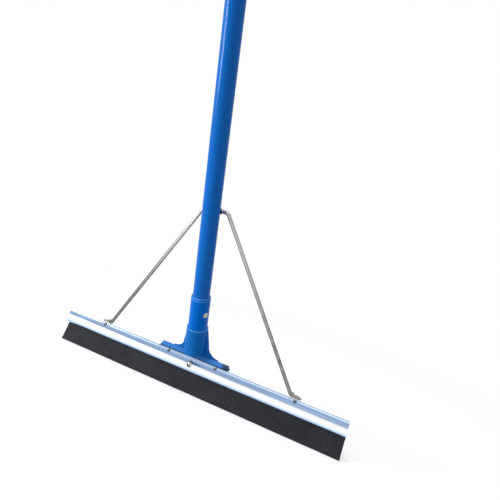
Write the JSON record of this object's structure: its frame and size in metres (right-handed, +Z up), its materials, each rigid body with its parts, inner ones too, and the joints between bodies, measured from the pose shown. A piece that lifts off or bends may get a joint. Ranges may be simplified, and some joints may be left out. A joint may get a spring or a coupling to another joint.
{
  "type": "floor squeegee",
  "caption": "Floor squeegee with a metal clamping profile, two foam rubber lips, a leaning blue handle in a bolted socket and two brace rods down to the head.",
  "frame": {"origin": "middle of the front lip's wiping face, where it rests on the floor", "axes": "+X along the head, +Y to the rear, away from the side that the handle leans to, +Z up from the floor"},
  "size_m": [0.55, 0.4864, 1.3316],
  "materials": {
    "extrusion": "bright extruded aluminium",
    "foam_rubber": "black cellular rubber with cut faces",
    "plated_steel": "bright zinc plated",
    "rivet_aluminium": "plain rivet aluminium",
    "mandrel_steel": "dark drawn steel",
    "moulded_nylon": "blue moulded nylon",
    "moulded_polypropylene": "glossy blue moulding",
    "coated_tube": "glossy blue coating",
    "brace_steel": "dull zinc plated rod"
  },
  "bodies": {
    "root": {"profile": "extrusion", "lip_front": "foam_rubber", "lip_rear": "foam_rubber", "clamp_screw": "plated_steel", "clamp_washer": "plated_steel", "clamp_nut": "plated_steel", "rivet_bodies": "rivet_aluminium", "rivet_mandrels": "mandrel_steel", "bracket": "moulded_nylon", "collar": "moulded_polypropylene", "collar_screw": "plated_steel", "handle_tube": "coated_tube", "end_cap": "moulded_polypropylene", "brace_right": "brace_steel", "brace_left": "brace_steel", "brace_washer": "plated_steel", "brace_screw": "plated_steel"}
  },
  "joints": []
}
